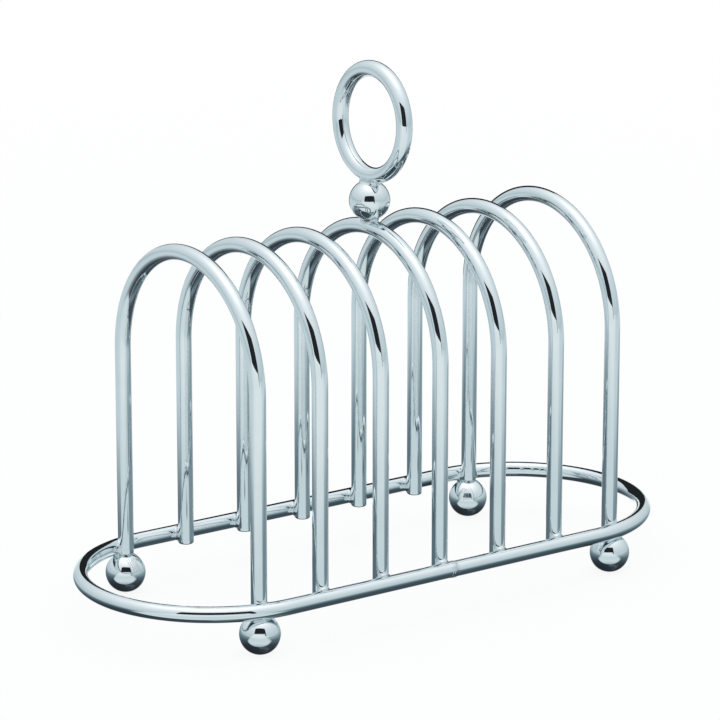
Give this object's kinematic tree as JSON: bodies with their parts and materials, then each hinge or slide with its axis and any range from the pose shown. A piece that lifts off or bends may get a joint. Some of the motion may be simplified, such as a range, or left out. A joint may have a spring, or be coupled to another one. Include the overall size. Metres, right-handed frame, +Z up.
{
  "type": "toast rack",
  "caption": "Chrome-plated wire toast rack: upright hoops welded inside a racetrack base ring on ball feet, with a ring handle on a ball at the top.",
  "frame": {"origin": "on the table, under the middle of the rack", "axes": "+X along the rack through the hoops, +Y across it towards the rear, +Z up"},
  "size_m": [0.2046, 0.0867, 0.1665],
  "materials": {
    "chrome_wire": "bright nickel-chrome plate on drawn round steel wire",
    "chrome_ball": "bright nickel-chrome plate on polished steel balls",
    "chrome_weld": "plated over as-welded metal, slightly uneven"
  },
  "bodies": {
    "root": {"base_ring": "chrome_wire", "hoop_1": "chrome_wire", "hoop_2": "chrome_wire", "hoop_3": "chrome_wire", "hoop_4": "chrome_wire", "hoop_5": "chrome_wire", "hoop_6": "chrome_wire", "hoop_7": "chrome_wire", "foot_front_left": "chrome_ball", "foot_front_right": "chrome_ball", "foot_rear_left": "chrome_ball", "foot_rear_right": "chrome_ball", "finial_ball": "chrome_ball", "handle_ring": "chrome_wire", "front_leg_welds": "chrome_weld", "rear_leg_welds": "chrome_weld", "corner_welds": "chrome_weld", "finial_weld": "chrome_weld", "handle_weld": "chrome_weld", "base_ring_seam": "chrome_weld"}
  },
  "joints": []
}
